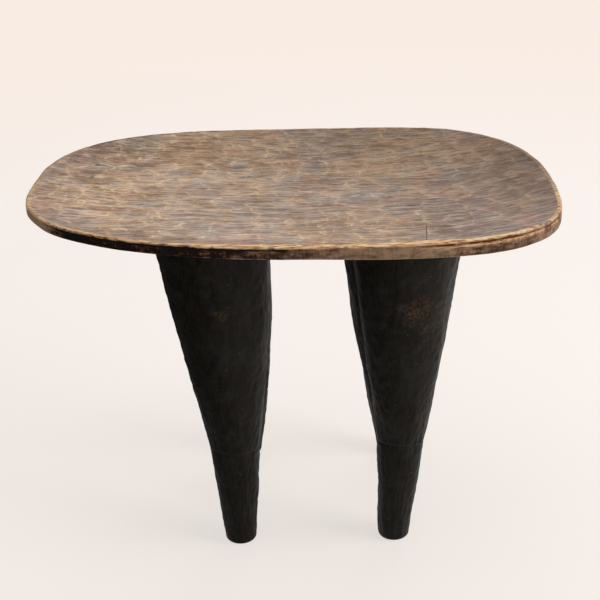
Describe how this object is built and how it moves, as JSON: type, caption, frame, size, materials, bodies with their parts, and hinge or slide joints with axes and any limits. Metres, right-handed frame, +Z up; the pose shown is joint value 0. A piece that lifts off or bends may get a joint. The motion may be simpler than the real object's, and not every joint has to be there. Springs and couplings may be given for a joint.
{
  "type": "carved stool",
  "caption": "Low hand-carved wooden stool: a wide, shallow-dished slab seat with rounded corners on stout club-shaped legs that narrow to small round feet below a carved ankle line.",
  "frame": {"origin": "on the floor, under the middle of the seat's outline", "axes": "+X along the seat's long side, +Y towards the seat's rear edge, +Z up"},
  "size_m": [0.538, 0.347, 0.3832],
  "materials": {
    "seat_wood": "worn, adze-marked, greyed and handled",
    "leg_wood": "dark, handled to a satin patina",
    "wedge_wood": "raw split wood"
  },
  "bodies": {
    "root": {"seat": "seat_wood", "leg_front_left": "leg_wood", "leg_front_right": "leg_wood", "leg_rear_left": "leg_wood", "leg_rear_right": "leg_wood", "wedge_front_left": "wedge_wood", "wedge_front_right": "wedge_wood", "wedge_rear_left": "wedge_wood", "wedge_rear_right": "wedge_wood"}
  },
  "joints": []
}
